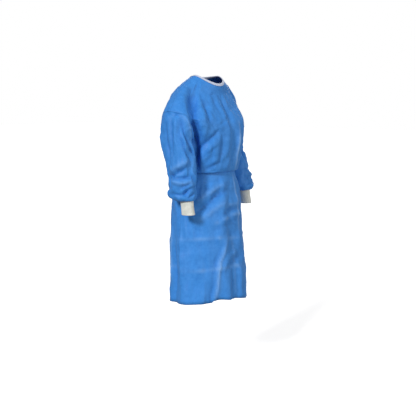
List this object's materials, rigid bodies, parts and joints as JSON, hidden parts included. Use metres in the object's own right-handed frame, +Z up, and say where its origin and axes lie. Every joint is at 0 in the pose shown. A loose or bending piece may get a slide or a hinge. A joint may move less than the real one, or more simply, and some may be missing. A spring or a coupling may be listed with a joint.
{
  "type": "surgical gown",
  "caption": "Hollow worn surgical gown of blue nonwoven: round bound neck, dropped sleeves with knitted cuffs, bodice hanging over a waist tie, flared skirt and overlapped back.",
  "frame": {"origin": "middle of the neck at the height of the high shoulder points, where the wearer's shoulders carry the gown", "axes": "+Z up, the front faces -Y, the wearer's left is +X"},
  "size_m": [0.6372, 0.3218, 1.072],
  "materials": {
    "nonwoven": "matte blue spunbond nonwoven with a soft sheen",
    "tape": "matte blue nonwoven tie tape",
    "binding": "matte pale lavender binding tape",
    "knit": "matte off-white ribbed knit",
    "hook_tape": "matte white hook-and-loop tape"
  },
  "bodies": {
    "root": {"front": "nonwoven", "back_left": "nonwoven", "back_right": "nonwoven", "sleeve_left": "nonwoven", "sleeve_right": "nonwoven", "cuff_left": "knit", "cuff_right": "knit", "neck_binding": "binding", "neck_fastener": "hook_tape", "belt": "tape", "belt_knot": "tape", "belt_end_a": "tape", "belt_end_b": "tape"}
  },
  "joints": []
}
